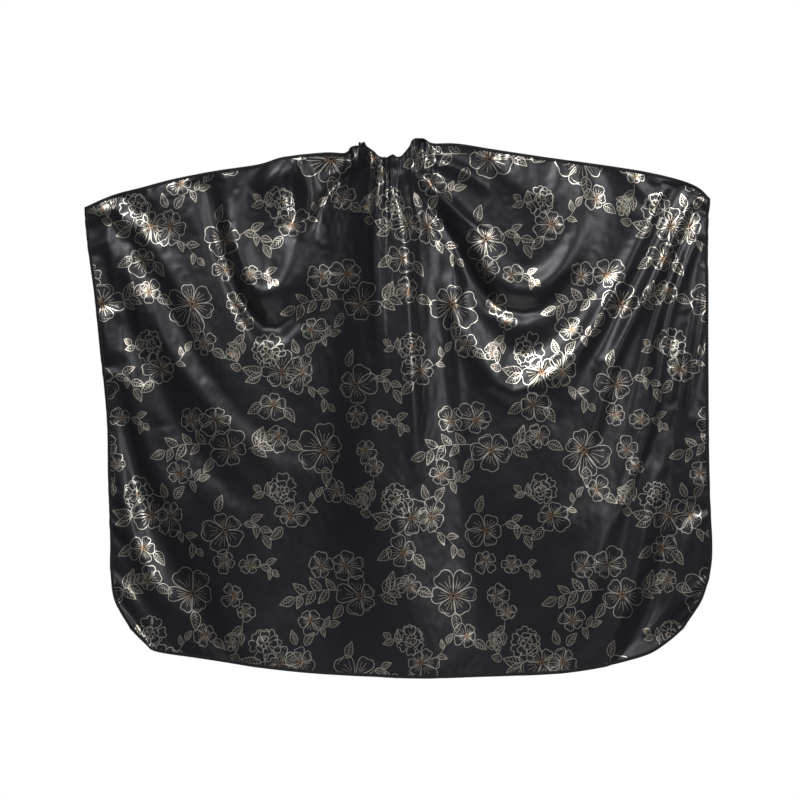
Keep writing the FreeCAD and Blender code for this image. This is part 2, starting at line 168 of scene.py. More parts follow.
def smooth_line(points, shares):
    """Points at the given shares of the length of a smooth line through the points."""
    points = np.array(points, float)
    ends = np.vstack([2 * points[0] - points[1], points, 2 * points[-1] - points[-2]])
    dense = []
    for i in range(1, len(ends) - 2):
        before, start, end, after = ends[i - 1:i + 3]
        for k in np.linspace(0, 1, 24, endpoint=False):
            dense.append(0.5 * (2 * start + (end - before) * k
                                + (2 * before - 5 * start + 4 * end - after) * k ** 2
                                + (3 * start - before - 3 * end + after) * k ** 3))
    dense = np.array(dense + [points[-1]])
    run = travelled(dense)
    run /= run[-1]
    return np.stack([np.interp(shares, run, column) for column in dense.T], axis=-1)


def outline_grid(across, down):
    """Places in the hung outline for shares across and down it, each from 0 to 1."""
    top, hem = smooth_line(TOP_EDGE, across), smooth_line(HEM_EDGE, across)
    left, right = smooth_line(LEFT_EDGE, down), smooth_line(RIGHT_EDGE, down)
    a, d = across[:, None, None], down[None, :, None]
    edges = (1 - d) * top[:, None] + d * hem[:, None] + (1 - a) * left[None] + a * right[None]
    corners = ((1 - a) * (1 - d) * top[0] + a * (1 - d) * top[-1]
               + (1 - a) * d * hem[0] + a * d * hem[-1])
    return edges - corners


def flat_of(place):
    """Where a place of the hung outline lies on the cloth as cut."""
    x, z = place[..., 0], place[..., 1]
    near = np.exp(-(x ** 2 + (z + 0.02) ** 2) / GATHER_REACH ** 2)
    return np.stack([x / EASE + GATHER * np.tanh(x / 0.06) * near, z], axis=-1)


def fold_depth(place):
    """How far back the hung cloth lies at each place: the chest curve, the folds, the sides."""
    x, z = place[..., 0], place[..., 1]
    fall = np.clip(-z / LOWEST, 0, 1)
    half = CHEST_WIDE + CHEST_WIDE * fall
    bulge = -CHEST_OUT * (1 - 0.5 * fall) * np.cos(np.pi * x / 2 / half) ** 2
    depth = np.where(np.abs(x) < half, bulge, 0)
    depth = depth + SIDES_BACK * np.clip((np.abs(x) - SIDES_FROM) / 0.40, 0, 1) ** 2
    depth = depth + HEM_WAVE * fall * np.sin(2 * np.pi * (x + 0.15 * z) / HEM_PITCH)
    for line, width, height in CORNER_STREAKS + SWAGS + NECK_FOLDS + LOW_FOLDS:
        line = smooth_line(line, np.linspace(0, 1, 14))
        best, along = np.full(x.shape, 1e9), np.zeros(x.shape)
        for i in range(len(line) - 1):
            start, step = line[i], line[i + 1] - line[i]
            k = np.clip(((x - start[0]) * step[0] + (z - start[1]) * step[1]) / (step @ step), 0, 1)
            gap = (x - start[0] - k * step[0]) ** 2 + (z - start[1] - k * step[1]) ** 2
            along = np.where(gap < best, (i + k) / (len(line) - 1), along)
            best = np.minimum(best, gap)
        taper = np.sin(np.pi * np.clip(along * 0.9 + 0.08, 0, 1)) ** 0.7
        depth = depth - height * taper * np.exp(-best / width ** 2)
    # the neckline stands in front of the band round the neck
    turn = np.sqrt(np.clip(1 - (x / NECK_RADIUS) ** 2, 0, 1))
    close = np.clip((0.090 - np.abs(x)) / 0.022, 0, 1)
    close = close * np.exp(-(np.maximum(-z - NECK_RADIUS * math.sin(NECK_TILT) * turn, 0) / 0.03) ** 2)
    return depth + close * (-NECK_RADIUS * math.cos(NECK_TILT) * turn - NECK_STAND - depth)


def cubic_weights(count, shares):
    """Weights that carry values on an even row of knots to any shares of that row, smoothly."""
    weights = np.zeros((len(shares), count))
    for row, share in enumerate(shares):
        place = min(share * (count - 1), count - 1 - 1e-9)
        knot, k = int(place), place - int(place)
        for step, weight in ((-1, -0.5 * k + k ** 2 - 0.5 * k ** 3),
                             (0, 1 - 2.5 * k ** 2 + 1.5 * k ** 3),
                             (1, 0.5 * k + 2 * k ** 2 - 1.5 * k ** 3),
                             (2, -0.5 * k ** 2 + 0.5 * k ** 3)):
            near = knot + step
            if near < 0:          # the row goes on in a straight line past its ends
                weights[row, 0] += 2 * weight
                weights[row, 1] -= weight
            elif near > count - 1:
                weights[row, count - 1] += 2 * weight
                weights[row, count - 2] -= weight
            else:
                weights[row, near] += weight
    return weights


def grid_bmesh(places, closed=False):
    """A sheet through rows of places: rows run to the right and each row's places run down, so
    that the sheet faces forward. closed joins each row's last place to its first."""
    across, down = places.shape[:2]
    bm = bmesh.new()
    bmesh.ops.create_grid(bm, x_segments=across - 1, y_segments=down - 1, size=0.5)
    order = sorted(bm.verts, key=lambda v: (round((v.co.x + 0.5) * (across - 1)),
                                            -round((v.co.y + 0.5) * (down - 1))))
    for index, (vertex, place) in enumerate(zip(order, places.reshape(-1, 3))):
        vertex.index = index
        vertex.co = place
    bm.verts.sort()
    bm.verts.ensure_lookup_table()
    if closed:
        bmesh.ops.remove_doubles(bm, verts=bm.verts, dist=1e-7)
    return bm


def finished(bm, name, material, smooth=True):
    """The object made from a bmesh, with its place in its mesh."""
    mesh = bpy.data.meshes.new(name)
    bm.to_mesh(mesh)
    bm.free()
    if smooth:
        mesh.shade_smooth()
    mesh.materials.append(material)
    piece = bpy.data.objects.new(name, mesh)
    bpy.context.collection.objects.link(piece)
    return piece


SIM_ACROSS, SIM_DOWN, SIM_FRAMES = 141, 121, 18
SIDE_HOLD, HEM_HOLD, HOLD_ROWS = 0.25, 0.15, 6     # how firmly the other edges keep their places
knots_across, knots_down = np.linspace(0, 1, SIM_ACROSS), np.linspace(0, 1, SIM_DOWN)
hung = outline_grid(knots_across, knots_down)
hanging = np.stack([hung[..., 0], fold_depth(hung), hung[..., 1]], axis=-1)


def settle(places):
    """The cloth after hanging for a moment. It is a little longer than the folds it starts in, so
    it finds its own small creases, and its top edge is held."""
    mesh = bpy.data.meshes.new("hanging_cloth")
    bm = grid_bmesh(places)
    bm.to_mesh(mesh)
    bm.free()
    piece = bpy.data.objects.new("hanging_cloth", mesh)
    bpy.context.collection.objects.link(piece)
    held = piece.vertex_groups.new(name="held")
    for i in range(SIM_ACROSS):
        side = SIDE_HOLD * max(0.0, 1 - min(i, SIM_ACROSS - 1 - i) / HOLD_ROWS)
        for j in range(SIM_DOWN):
            hem = HEM_HOLD * max(0.0, 1 - (SIM_DOWN - 1 - j) / HOLD_ROWS)
            held.add([i * SIM_DOWN + j], 1.0 if j == 0 else max(0.02, side, hem), "REPLACE")
    cloth = piece.modifiers.new("hang", "CLOTH")
    settings = cloth.settings
    settings.quality = 4
    settings.mass = 0.0005
    settings.tension_stiffness = settings.compression_stiffness = 12
    settings.shear_stiffness = 6
    settings.bending_stiffness = 2.5
    settings.air_damping = 4
    settings.shrink_min = -0.010
    settings.vertex_group_mass = "held"
    settings.pin_stiffness = 1.0
    cloth.collision_settings.use_collision = False
    cloth.collision_settings.use_self_collision = False
    for number in range(1, SIM_FRAMES + 1):
        bpy.context.scene.frame_set(number)
    seen = piece.evaluated_get(bpy.context.evaluated_depsgraph_get())
    settled = np.empty(places.size)
    seen.data.vertices.foreach_get("co", settled)
    bpy.context.scene.frame_set(1)
    bpy.data.objects.remove(piece)
    return settled.reshape(places.shape)


hanging = settle(hanging)

# The finished cloth has more points, closest together at the gathers, and meets in two halves down
# its middle.
HALF_ACROSS, DOWN = 171, 200
top_line = smooth_line(TOP_EDGE, np.linspace(0, 1, 2001))
middle = np.interp(0.0, top_line[:, 0], np.linspace(0, 1, 2001))
k = np.linspace(0, 1, HALF_ACROSS)
closing = 0.45 * k + 0.55 * (1 - (1 - k) ** 2)
across = np.concatenate([middle * closing, 1 - (1 - middle) * closing[::-1][1:]])
k = np.linspace(0, 1, DOWN)
down = 0.6 * k + 0.4 * k ** 2
weights_across, weights_down = cubic_weights(SIM_ACROSS, across), cubic_weights(SIM_DOWN, down)
cloth = np.tensordot(np.tensordot(weights_across, hanging, (1, 0)), weights_down, (1, 1))
cloth = cloth.transpose(0, 2, 1)
cut = flat_of(outline_grid(across, down))

# gathers: fine pleats at the neck tape, running out into wider ones; each kind has its depth, how
# far down it fades, and its pitch on the cut cloth
FINE_PLEATS, WIDE_PLEATS = (0.0012, 0.030, 0.0135), (0.0042, 0.10, 0.034)
below = np.linalg.norm(cloth - cloth[:, :1], axis=-1)
window = np.clip(1 - (np.abs(cloth[..., 0]) - 0.075) / 0.05, 0, 1) * np.clip(below / 0.004, 0, 1)
wobble = 1.3 * np.sin(cut[..., 0] * 47 + 1) + 0.8 * np.sin(cut[..., 0] * 91)
pleats = 0
for (deep, fades, pitch), swing in ((FINE_PLEATS, wobble), (WIDE_PLEATS, 2 * wobble)):
    pleats += deep * np.exp(-below / fades) * np.cos(2 * np.pi * cut[..., 0] / pitch + swing)
cloth[..., 1] += pleats * window


def sheet_normals(places):
    """The forward normal at each place of a sheet."""
    right = np.gradient(places, axis=0)
    downward = np.gradient(places, axis=1)
    normal = np.cross(downward, right)
    return normal / np.linalg.norm(normal, axis=-1, keepdims=True)


forward = sheet_normals(cloth)


class Value:
    """A number that varies over a surface: a socket, with the maths that patterns are written in."""

    def __init__(self, finish, socket):
        self.finish, self.socket = finish, socket

    def maths(self, operation, *numbers):
        inputs = dict(enumerate(numbers))
        return self.finish.node("ShaderNodeMath", {"operation": operation}, inputs)[0]

    def __add__(self, other):
        return self.maths("ADD", self, other)

    def __sub__(self, other):
        return self.maths("SUBTRACT", self, other)

    def __rsub__(self, other):
        return self.maths("SUBTRACT", other, self)

    def __mul__(self, other):
        return self.maths("MULTIPLY", self, other)

    __radd__, __rmul__ = __add__, __mul__

    def wave(self, pitch):
        """A smooth ridge and groove at each pitch, from 0 to 1."""
        return self.maths("SINE", self * (2 * math.pi / pitch)) * 0.5 + 0.5


class Finish:
    """A material, with the constants of its shader, and its nodes added one at a time."""

    def __init__(self, name, **constants):
        self.material = bpy.data.materials.new(name)
        self.material.use_nodes = True
        self.tree = self.material.node_tree
        self.shader = self.tree.nodes["Principled BSDF"]
        for socket, value in constants.items():
            self.shader.inputs[socket.replace("_", " ")].default_value = value

    def fill(self, sockets, inputs):
        for name, value in inputs.items():
            if isinstance(value, Value):
                self.tree.links.new(value.socket, sockets[name])
            else:
                sockets[name].default_value = value

    def node(self, kind, settings, inputs):
        """One node: its settings, then the values or links of its sockets. Returns its outputs."""
        node = self.tree.nodes.new(kind)
        for name, value in settings.items():
            setattr(node, name, value)
        self.fill(node.inputs, inputs)
        return [Value(self, socket) for socket in node.outputs]

    def noise(self, place, scale, detail=3.0, rough=0.5):
        inputs = {"Vector": place, "Scale": scale, "Detail": detail, "Roughness": rough}
        return self.node("ShaderNodeTexNoise", {}, inputs)[0]

    def mix(self, share, first, second):
        """A colour between two, by a share from 0 to 1."""
        return self.node("ShaderNodeMix", {"data_type": "RGBA"}, {0: share, 6: first, 7: second})[2]

    def bump(self, height, distance, strength, under=None):
        inputs = {"Height": height, "Distance": distance, "Strength": strength}
        if under:
            inputs["Normal"] = under
        return self.node("ShaderNodeBump", {}, inputs)[0]

    def surface(self, **inputs):
        self.fill(self.shader.inputs, {name.replace("_", " "): v for name, v in inputs.items()})


def split(finish, place):
    """The three coordinates of a place."""
    return finish.node("ShaderNodeSeparateXYZ", {}, {0: place})


satin = Finish("black_satin", Sheen_Weight=0.10, Sheen_Roughness=0.35, Specular_IOR_Level=0.62)
on_cloth = satin.node("ShaderNodeUVMap", {"uv_map": "cut"}, {})[0]
run = split(satin, on_cloth)
patchy = satin.noise(on_cloth, 9.0, 2.0)
twill = (run[0] + run[1]).wave(0.0011) * 0.7 + (run[0] - run[1] * 3.0).wave(0.0017) * 0.3
crinkle = satin.noise(on_cloth, 34.0, 4.0, 0.62)
soft = satin.bump(crinkle, 0.0030, 0.07)
satin.surface(Base_Color=satin.mix(patchy, (0.0085, 0.0085, 0.0120, 1), (0.015, 0.0148, 0.020, 1)),
              Roughness=patchy * 0.07 + crinkle * 0.07 + 0.30,
              Normal=satin.bump(twill, 0.00012, 0.35, soft))

HALVES = {"left": -1, "right": 1}


def turn_with_shoulder(piece, side):
    """Bakes the piece's place into its mesh."""
    side + "_side"
    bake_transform(piece)


def lay_flat(piece, places):
    """Gives a piece a map of where each of its points lies on the cloth as cut."""
    layer = piece.data.uv_layers.new(name="cut")
    corners = np.empty(len(piece.data.loops), int)
    piece.data.loops.foreach_get("vertex_index", corners)
    layer.data.foreach_set("uv", np.asarray(places, np.float32)[corners].ravel())


for side, columns in (("left", slice(0, HALF_ACROSS)), ("right", slice(HALF_ACROSS - 1, None))):
    normals = forward[columns].reshape(-1, 3)
    bm = grid_bmesh(cloth[columns])
    number = bm.verts.layers.int.new("number")
    for vertex in bm.verts:
        vertex[number] = vertex.index
    front = len(bm.verts)
    bmesh.ops.extrude_face_region(bm, geom=bm.faces[:], use_keep_orig=True)
    bm.verts.index_update()
    turned = []
    for vertex in bm.verts:
        normal = normals[vertex[number]]
        if vertex.index >= front:
            vertex.co -= Vector(normal) * CLOTH_THICK
        turned.append(tuple(normal if vertex.index < front else -normal))
    flat_at = cut[columns].reshape(-1, 2)[[vertex[number] for vertex in bm.verts]]
    bmesh.ops.recalc_face_normals(bm, faces=bm.faces)
    piece = finished(bm, side + "_cloth", satin.material)
    piece.data.normals_split_custom_set_from_vertices(turned)
    lay_flat(piece, flat_at)
    turn_with_shoulder(piece, side)
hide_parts("cloth_front", "cloth_left_side")
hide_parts("cloth_right_side")

# ------------------------------------------------------------------ the printed flowers
# The cloth is printed all over with flowers, buds and leaf sprays in thin lines of pale gold foil,
# as fine as a pen stroke. One pattern repeats, each row set half a repeat to the side of the last.
REPEAT_ACROSS, REPEAT_DOWN, ROW_SHIFT = 0.636, 0.322, 0.318
REPEAT_START = (-0.585, 0.150)
OUTLINE, VEIN, STAMEN = 0.0015, 0.0009, 0.0009
FOIL_LIFT = 0.00035
STROKE_STEP = 0.0036
OFF_CLOTH = 0.0004           # a place further out than this isn't printed
LEAF_SIZE, FLOWER_SIZE = 1.22, 1.08
hand = random.Random(11)     # the small unevenness of a drawn line


def moved(strokes, x, z, turn=0.0, slant=1.0):
    """The strokes of a motif, seen at a slant, turned and moved to a place in the pattern."""
    place, spin = complex(x, z), cmath.exp(1j * math.radians(turn))
    return [(place + spin * (line.real + 1j * line.imag * slant), width, warm)
            for line, width, warm in strokes]


def flower(radius, petals=5, inner=0.16, notch=0.10, veins=3, heart=True):
    """Round petals with fine lines in them, and orange stamens."""
    strokes, radius = [], radius * FLOWER_SIZE
    share = np.linspace(0, 1, 21)
    first, facing = hand.uniform(0, 6.28), hand.uniform(0, 6.28)
    for i in range(petals):
        turn = first + 2 * math.pi * (i + hand.uniform(-0.10, 0.10)) / petals
        spread = math.pi / petals * hand.uniform(0.80, 1.20)
        reach = radius * hand.uniform(0.92, 1.12) * (1 + 0.20 * math.cos(turn - facing))
        out = inner * radius + (reach - inner * radius) * np.sin(math.pi * share) ** 0.45
        out = out * (1 - notch * np.exp(-((share - hand.uniform(0.44, 0.56)) / 0.09) ** 2))
        strokes.append((out * np.exp(1j * (turn + spread * np.sin((share - 0.5) * math.pi))),
                        OUTLINE, 0.0))
        for vein in range(veins):
            away = (vein - (veins - 1) / 2) * spread * 0.42
            run = np.linspace(0.26, hand.uniform(0.55, 0.74), 4)
            strokes.append((reach * run * np.exp(1j * (turn + away * (0.6 + run))), VEIN, 0.25))
        if veins and hand.random() < 0.35:      # the turned-over lip of a petal
            lip = np.linspace(-0.62, 0.40, 7)
            strokes.append((reach * (0.86 - 0.22 * lip ** 2) * np.exp(1j * (turn + spread * lip)),
                            VEIN, 0.0))
    if heart:
        ring = np.exp(2j * math.pi * np.linspace(0, 1, 9)) * 0.09 * radius
        strokes.append((ring, STAMEN, 1.0))
        for i in range(2 * petals):
            turn = 2 * math.pi * (i + hand.uniform(-0.3, 0.3)) / (2 * petals)
            run = np.linspace(0.08, hand.uniform(0.22, 0.34), 3) * radius
            strokes.append((run * np.exp(1j * turn), STAMEN, 1.0))
    return strokes


def peony(radius):
    """A full flower: petals inside petals, round a small heart."""
    return (flower(radius, 7, 0.60, 0.16, 0, False) + flower(radius * 0.68, 5, 0.45, 0.12, 2, False)
            + flower(radius * 0.36, 4, 0.25, 0.05, 0, True))


def leaf(length, fat=0.29, veins=4):
    """A pointed leaf: two curved sides, a midrib and side veins."""
    length = length * LEAF_SIZE
    share = np.linspace(0, 1, 13)
    half = fat * length * np.sin(math.pi * share ** 0.8) * (1 - 0.25 * share)
    bend = 0.06 * length * np.sin(math.pi * share)
    rib = share * length + 1j * bend
    strokes = [(rib + 1j * half, OUTLINE, 0.1), (rib - 1j * half, OUTLINE, 0.1), (rib, VEIN, 0.3)]
    for i in range(veins):
        root = 0.16 + 0.62 * i / veins
        wide = 0.72 * fat * math.sin(math.pi * (root + 0.10) ** 0.8)
        for up in (-1, 1):
            strokes.append((length * np.array([root, root + 0.10 + 0.5j * wide * up,
                                               root + 0.17 + 1j * wide * up]), VEIN, 0.1))
    return strokes


def bud(length):
    """A closed bud on its sepals."""
    share = np.linspace(0, 1, 11)
    half = 0.34 * length * np.sin(math.pi * share ** 0.7) ** 0.8
    strokes = [(share * length + 1j * half, OUTLINE, 0.0), (share * length - 1j * half, OUTLINE, 0.0)]
    for side in (-0.4, 0.1, 0.5):
        strokes.append((share[2:9] * length + 1j * half[2:9] * side, VEIN, 0.5))
    return strokes


def spray(points, length, leaves, end="leaf"):
    """A curved stem with leaves to each side of it, and a leaf, bud or small flower at its end."""
    stem = smooth_line(points, np.linspace(0, 1, 15)) @ np.array([1, 1j])
    strokes = [(stem, VEIN * 1.2, 0.2)]
    for i in range(leaves):
        place = 2 + int(11 * (i + 0.5) / leaves)
        along = math.degrees(cmath.phase(stem[place + 1] - stem[place]))
        size = length * hand.uniform(0.8, 1.05)
        strokes += moved(leaf(size, 0.27, 3), stem[place].real, stem[place].imag,
                         along + (48 if i % 2 else -48))
    along = math.degrees(cmath.phase(stem[-1] - stem[-2]))
    ending = {"leaf": lambda: leaf(length), "bud": lambda: bud(length * 0.8),
              "flower": lambda: flower(length * 0.6)}[end]()
    return strokes + moved(ending, stem[-1].real, stem[-1].imag, along)


def pattern():
    """Every stroke of one repeat, drawn by hand, so that no two repeats are quite the same."""
    return (
        # the large bunch
        moved(peony(0.036), -0.037, 0.033) + moved(flower(0.044), 0.000, -0.011, 20, 0.85)
        + moved(flower(0.040, 6), 0.049, -0.011, 70, 0.8)
        + moved(leaf(0.042), -0.045, -0.012, 170) + moved(leaf(0.034), -0.050, -0.016, 205)
        + moved(bud(0.026), -0.098, -0.004, 165)
        + moved(flower(0.034), -0.020, -0.085, 0, 0.9)
        + moved(leaf(0.034), -0.048, -0.080, 215) + moved(leaf(0.034), 0.006, -0.092, -50)
        + spray([(0.050, -0.040), (0.078, -0.048), (0.098, -0.066), (0.116, -0.084)], 0.026, 3, "bud")
        + moved(leaf(0.030), 0.060, 0.028, 50) + moved(leaf(0.028), 0.040, 0.030, 110)
        # between it and the next
        + moved(flower(0.030), 0.073, 0.083, 0, 0.85)
        + spray([(0.090, 0.070), (0.104, 0.066), (0.118, 0.070)], 0.024, 2)
        + moved(leaf(0.032), 0.165, 0.000, 75) + moved(flower(0.045), 0.183, -0.040, 0, 0.86)
        + spray([(0.216, -0.034), (0.240, -0.020), (0.262, -0.030), (0.276, -0.052)], 0.028, 4)
        + moved(flower(0.025), 0.183, -0.107) + moved(flower(0.024), 0.244, -0.118, 0, 0.8)
        + spray([(0.262, -0.118), (0.284, -0.116), (0.300, -0.130)], 0.024, 3, "bud")
        # the second bunch
        + spray([(0.296, 0.030), (0.282, 0.040), (0.268, 0.048)], 0.026, 2, "bud")
        + moved(peony(0.032), 0.318, 0.046) + moved(flower(0.038, 6), 0.342, -0.007, 0, 0.82)
        + spray([(0.368, 0.000), (0.388, 0.012), (0.404, 0.034)], 0.022, 2)
        + moved(leaf(0.034), 0.322, -0.034, 220)
        # the third bunch, with its long spray
        + moved(flower(0.028), 0.098, 0.201) + moved(flower(0.040, 6), 0.159, 0.205, 0, 0.8)
        + moved(flower(0.046), 0.195, 0.138, 0, 0.88)
        + spray([(0.150, 0.150), (0.112, 0.150), (0.070, 0.146), (0.034, 0.132)], 0.032, 6)
        + moved(leaf(0.032), 0.150, 0.118, 235)
        # the garland
        + spray([(0.238, 0.140), (0.256, 0.146), (0.276, 0.158)], 0.034, 4)
        + moved(flower(0.026), 0.312, 0.165) + moved(leaf(0.034), 0.332, 0.152, -20)
        + moved(flower(0.055, 6), 0.420, 0.138, 0, 0.9) + moved(leaf(0.038), 0.424, 0.100, -85)
        + moved(flower(0.025), 0.525, 0.138) + moved(flower(0.022), 0.550, 0.100, 0, 0.85)
        + spray([(0.545, 0.082), (0.545, 0.064), (0.530, 0.046), (0.516, 0.030)], 0.028, 4, "flower")
        + moved(flower(0.026), 0.452, 0.049) + moved(leaf(0.030), 0.470, 0.036, -30)
    )


# The strokes are laid on the cloth as cut, and go where the hung cloth carries them.
columns, rows = cut.shape[:2]
index = np.arange(columns * rows).reshape(columns, rows)
corners = [index[:-1, :-1], index[1:, :-1], index[1:, 1:], index[:-1, 1:]]
triangles = np.concatenate([np.stack([corners[0], corners[1], corners[2]], -1).reshape(-1, 3),
                            np.stack([corners[0], corners[2], corners[3]], -1).reshape(-1, 3)])
flat_places = [Vector((u, v, 0)) for u, v in cut.reshape(-1, 2)]
hung_places = [Vector(place) for place in cloth.reshape(-1, 3)]
hung_normals = [Vector(normal) for normal in forward.reshape(-1, 3)]
triangles = triangles.tolist()
flat_cloth = BVHTree.FromPolygons(flat_places, triangles)


def on_hung_cloth(u, v):
    """The place on the hung cloth of a place on the cut cloth, and its normal; None if outside."""
    point, _, face, gap = flat_cloth.find_nearest(Vector((u, v, 0)))
    if gap > OFF_CLOTH:
        return None
    flat = [flat_places[i] for i in triangles[face]]
    return (barycentric_transform(point, *flat, *[hung_places[i] for i in triangles[face]]),
            barycentric_transform(point, *flat, *[hung_normals[i] for i in triangles[face]]).normalized())


def even_points(line):
    """A stroke's points at even steps along it."""
    run = np.concatenate([[0], np.cumsum(np.abs(np.diff(line)))])
    count = max(3, math.ceil(run[-1] / STROKE_STEP) + 1)
    shares = np.linspace(0, run[-1], count)
    return np.interp(shares, run, line.real) + 1j * np.interp(shares, run, line.imag)


def drawn(strokes, name):
    """Flat ribbons of foil along strokes that are already laid on the hung cloth."""
    bm = bmesh.new()
    across = bm.verts.layers.float_vector.new("across")
    warm = bm.verts.layers.float.new("warm")
    for places, normals, width, heat in strokes:
        last = None
        count = len(places)
        for i in range(count):
            along = places[min(i + 1, count - 1)] - places[max(i - 1, 0)]
            side = along.cross(normals[i]).normalized()
            taper = 0.45 if i in (0, count - 1) else 1.0
            vertex = bm.verts.new(places[i] + normals[i] * FOIL_LIFT - side * (width * taper / 2))
            vertex[across] = side * (width * taper)
            vertex[warm] = heat
            if last:
                bm.edges.new((last, vertex))
            last = vertex
    made = bmesh.ops.extrude_edge_only(bm, edges=bm.edges[:])["geom"]
    for vertex in made:
        if isinstance(vertex, bmesh.types.BMVert):
            vertex.co += vertex[across]
    return finished(bm, name, foil.material)


foil = Finish("gold_foil", Metallic=1.0)
where = foil.node("ShaderNodeTexCoord", {}, {})[3]
worn = foil.noise(where, 160.0, 3.0, 0.6)
warmth = foil.node("ShaderNodeAttribute", {"attribute_name": "warm"}, {})[2]
gold = foil.mix(worn, (0.67, 0.63, 0.53, 1), (0.98, 0.94, 0.83, 1))
foil.surface(Base_Color=foil.mix(warmth, gold, (0.86, 0.56, 0.32, 1)),
             Roughness=worn * 0.20 + 0.28, Normal=foil.bump(worn, 0.0003, 0.3))

laid = {"left": [], "right": []}
for row in range(6):
    for repeat in range(-1, 3):
        u0 = REPEAT_START[0] + ROW_SHIFT * ((row + 1) % 2) + REPEAT_ACROSS * repeat
        v0 = REPEAT_START[1] - REPEAT_DOWN * row
        for line, width, warm in pattern():
            line = even_points(line) + complex(u0, v0)
            on_cloth_points = [on_hung_cloth(point.real, point.imag) for point in line]
            side = "left" if line.real.mean() < 0 else "right"
            stretch = []
            for point in on_cloth_points + [None]:
                if point:
                    stretch.append(point)
                    continue
                if len(stretch) > 2:
                    laid[side].append(([p[0] for p in stretch], [p[1] for p in stretch], width, warm))
                stretch = []
for side in HALVES:
    piece = drawn(laid[side], side + "_print")
    turn_with_shoulder(piece, side)

# ------------------------------------------------------------------ the edge tape
# A narrow black ribbed tape, folded over the raw edge all round the cloth and sewn down with one
# line of lockstitch close to its inner edge.
TAPE_WIDE, TAPE_THICK = 0.0068, 0.0009
NECK_TAPE_SHARE = 0.5        # the tape is narrower round the neckline
STITCH_PITCH, STITCH_IN = 0.0034, 0.0052
EDGE_STITCH = (0.0013, 0.0004, 0.0003)     # half a stitch's length, width and height
TAPE_SECTION = [(1.00, 0.45), (0.97, 0.95), (0.55, 1.15), (0.12, 1.10), (-0.06, 0.55), (-0.10, -0.30),
                (-0.05, -1.10), (0.15, -1.60), (0.60, -1.60), (0.97, -1.35), (1.00, -0.85)]

ribbed = Finish("ribbed_tape", Sheen_Weight=0.25, Sheen_Roughness=0.5, Specular_IOR_Level=0.30)
along_tape = split(ribbed, ribbed.node("ShaderNodeUVMap", {"uv_map": "cut"}, {})[0])
place = ribbed.node("ShaderNodeTexCoord", {}, {})[3]
dusty = ribbed.noise(place, 60.0)
ribs = along_tape[0].wave(0.0012)
ribbed.surface(Base_Color=ribbed.mix(dusty * 0.6 + ribs * 0.4, (0.004, 0.004, 0.006, 1),
                                     (0.012, 0.012, 0.015, 1)),
               Roughness=dusty * 0.2 + 0.55,
               Normal=ribbed.bump(ribs, 0.0003, 0.5, ribbed.bump(dusty, 0.001, 0.3)))
thread = Finish("sewing_thread", Sheen_Weight=0.1)
twist = split(thread, thread.node("ShaderNodeTexCoord", {}, {})[3])
plies = (twist[0] + twist[2]).wave(0.0007)
thread.surface(Base_Color=thread.mix(plies, (0.006, 0.006, 0.009, 1), (0.030, 0.030, 0.038, 1)),
               Roughness=plies * 0.2 + 0.40, Normal=thread.bump(plies, 0.0002, 0.6))


def at_marks(marks, travel, rows_of):
    """Places or directions along a line, at the given distances along it."""
    return np.stack([np.interp(marks, travel, rows_of[:, axis]) for axis in range(3)], axis=1)


def stitched(bm, places, directions, normals, size):
    """Adds one small raised stitch at each place."""
    for place, along, normal in zip(places, directions, normals):
        along, normal = Vector(along).normalized(), Vector(normal).normalized()
        axes = Matrix((along, normal.cross(along), normal)).transposed().to_4x4()
        matrix = Matrix.Translation(place) @ axes @ Matrix.Diagonal((*size, 1))
        bmesh.ops.create_icosphere(bm, subdivisions=1, radius=1, matrix=matrix)


def edge_run(side):
    """Indices of the cloth's places along one half's edge, from the neckline round to the hem."""
    middle_column = HALF_ACROSS - 1
    end = 0 if side == "left" else columns - 1
    step = -1 if side == "left" else 1
    top = [(i, 0) for i in range(middle_column, end, step)]
    edge = [(end, j) for j in range(rows - 1)]
    return top + edge + [(i, rows - 1) for i in range(end, middle_column - step, -step)]


tape_pieces, stitch_pieces = {}, {}
for side in HALVES:
    run = edge_run(side)
    line = np.array([cloth[i, j] for i, j in run])
    normals = np.array([forward[i, j] for i, j in run])
    along = np.gradient(line, axis=0)
    along[1:-1] = (line[2:] - line[:-2])
    along /= np.linalg.norm(along, axis=1, keepdims=True)
    inward = np.cross(normals, along) * (1 if side == "left" else -1)
    inward /= np.linalg.norm(inward, axis=1, keepdims=True)
    travel = travelled(line)
    away = np.clip((np.linalg.norm(line, axis=1) - 0.07) / 0.05, 0, 1)[:, None]
    inward *= NECK_TAPE_SHARE + (1 - NECK_TAPE_SHARE) * away
    section = [line + inward * (TAPE_WIDE * a) + normals * (TAPE_THICK * b) for a, b in TAPE_SECTION]
    bm = grid_bmesh(np.stack(section + section[:1], axis=1), closed=True)
    bmesh.ops.holes_fill(bm, edges=bm.edges[:], sides=0)
    bmesh.ops.recalc_face_normals(bm, faces=bm.faces)
    bm.verts.ensure_lookup_table()
    nearest = BVHTree.FromPolygons([Vector(p) for p in line],
                                   [(i, i + 1, i) for i in range(len(line) - 1)])
    shares = []
    for vertex in bm.verts:
        where_on, _, face, _ = nearest.find_nearest(vertex.co)
        shares.append((travel[face] + (where_on - Vector(line[face])).length,
                       vertex.co.y * 0.5))
    piece = finished(bm, side + "_edge_tape", ribbed.material)
    lay_flat(piece, shares)
    turn_with_shoulder(piece, side)
    tape_pieces[side] = piece

    marks = np.arange(STITCH_PITCH, travel[-1], STITCH_PITCH)
    seam = line + inward * STITCH_IN + normals * TAPE_THICK * 1.12
    bm = bmesh.new()
    stitched(bm, *[at_marks(marks, travel, part) for part in (seam, along, normals)], EDGE_STITCH)
    piece = finished(bm, side + "_edge_stitches", thread.material)
    turn_with_shoulder(piece, side)
    stitch_pieces[side] = piece
